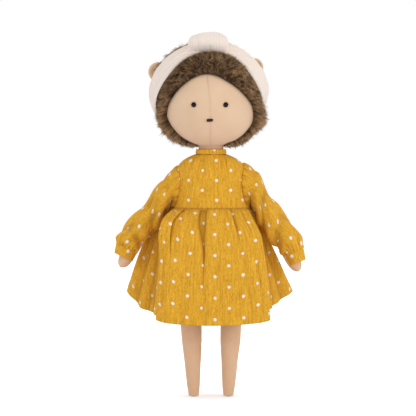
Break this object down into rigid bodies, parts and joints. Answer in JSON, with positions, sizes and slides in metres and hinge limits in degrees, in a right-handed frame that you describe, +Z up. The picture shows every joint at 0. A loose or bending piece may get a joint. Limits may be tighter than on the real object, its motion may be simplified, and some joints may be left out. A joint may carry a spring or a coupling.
{
  "type": "stuffed hedgehog doll in a dress",
  "caption": "Stuffed cloth hedgehog doll with a pile head, bead eyes, a knotted headband and a dotted dress; head, arms, hips and legs move.",
  "frame": {"origin": "on the floor, midway between the soles, at the middle of the bottom of the bounding box", "axes": "+Z up through the head, -Y is the way the doll faces, +X is the doll's left"},
  "size_m": [0.155, 0.094, 0.2998],
  "materials": {
    "face_cotton": "woven cotton, matt",
    "limb_jersey": "cotton jersey, matt",
    "body_cotton": "woven cotton, matt",
    "stuffing": "loose polyester fibre",
    "pile_fabric": "short brushed pile, matt",
    "ear_cloth": "short velour",
    "dress_gauze": "crinkled double gauze with white dots",
    "band_jersey": "ribbed jersey, matt",
    "eye_bead": "polished",
    "eye_washer": "moulded",
    "nose_thread": "satin stitch",
    "button": "polished"
  },
  "bodies": {
    "torso": {"torso_skin": "body_cotton", "torso_stuffing": "stuffing", "dress_bodice": "dress_gauze", "dress_collar": "dress_gauze", "dress_back_placket": "dress_gauze", "dress_button_upper": "button", "dress_button_lower": "button", "dress_skirt": "dress_gauze"},
    "neck": {"neck_skin": "face_cotton", "neck_stuffing": "stuffing"},
    "head": {"face_panel_left": "face_cotton", "face_panel_right": "face_cotton", "pile_panel_left": "pile_fabric", "pile_panel_right": "pile_fabric", "head_stuffing": "stuffing", "eye_left": "eye_bead", "eye_right": "eye_bead", "eye_washer_left": "eye_washer", "eye_washer_right": "eye_washer", "nose_stitch": "nose_thread", "ear_left": "ear_cloth", "ear_right": "ear_cloth"},
    "headband": {"headband_band": "band_jersey", "headband_knot": "band_jersey"},
    "arm_left": {"arm_left_skin": "limb_jersey", "arm_left_stuffing": "stuffing", "sleeve_left": "dress_gauze", "cuff_left": "dress_gauze"},
    "arm_right": {"arm_right_skin": "limb_jersey", "arm_right_stuffing": "stuffing", "sleeve_right": "dress_gauze", "cuff_right": "dress_gauze"},
    "hips": {"hip_strip": "limb_jersey"},
    "leg_left": {"leg_left_skin": "limb_jersey", "leg_left_stuffing": "stuffing"},
    "leg_right": {"leg_right_skin": "limb_jersey", "leg_right_stuffing": "stuffing"}
  },
  "joints": [
    {"name": "neck_nod", "type": "hinge", "parent": "torso", "child": "neck", "pos_m": [0, 0, 0.199], "axis": [1, 0, 0], "range_deg": [-12, 10], "stiffness_Nm_per_rad": 0.3},
    {"name": "head_turn", "type": "hinge", "parent": "neck", "child": "head", "pos_m": [0, 0, 0.199], "axis": [0, 0, 1], "range_deg": [-30, 30], "stiffness_Nm_per_rad": 0.05},
    {"name": "headband_off", "type": "slide", "parent": "head", "child": "headband", "axis": [0, 0.9063, 0.4226], "range_m": [0, 0.08], "deforming": ["ear_left", "ear_right"]},
    {"name": "arm_left_raise", "type": "hinge", "parent": "torso", "child": "arm_left", "pos_m": [0.0332, 0, 0.1765], "axis": [0, -1, 0], "range_deg": [0, 85]},
    {"name": "arm_right_raise", "type": "hinge", "parent": "torso", "child": "arm_right", "pos_m": [-0.0332, 0, 0.1765], "axis": [0, 1, 0], "range_deg": [0, 85]},
    {"name": "hip_fold", "type": "hinge", "parent": "torso", "child": "hips", "pos_m": [0, 0, 0.1184], "axis": [-1, 0, 0], "range_deg": [0, 85], "deforming": ["dress_skirt"]},
    {"name": "leg_left_swing", "type": "hinge", "parent": "hips", "child": "leg_left", "pos_m": [0, 0, 0.1134], "axis": [-1, 0, 0], "range_deg": [-15, 15]},
    {"name": "leg_right_swing", "type": "hinge", "parent": "hips", "child": "leg_right", "pos_m": [0, 0, 0.1134], "axis": [-1, 0, 0], "range_deg": [-15, 15]}
  ]
}
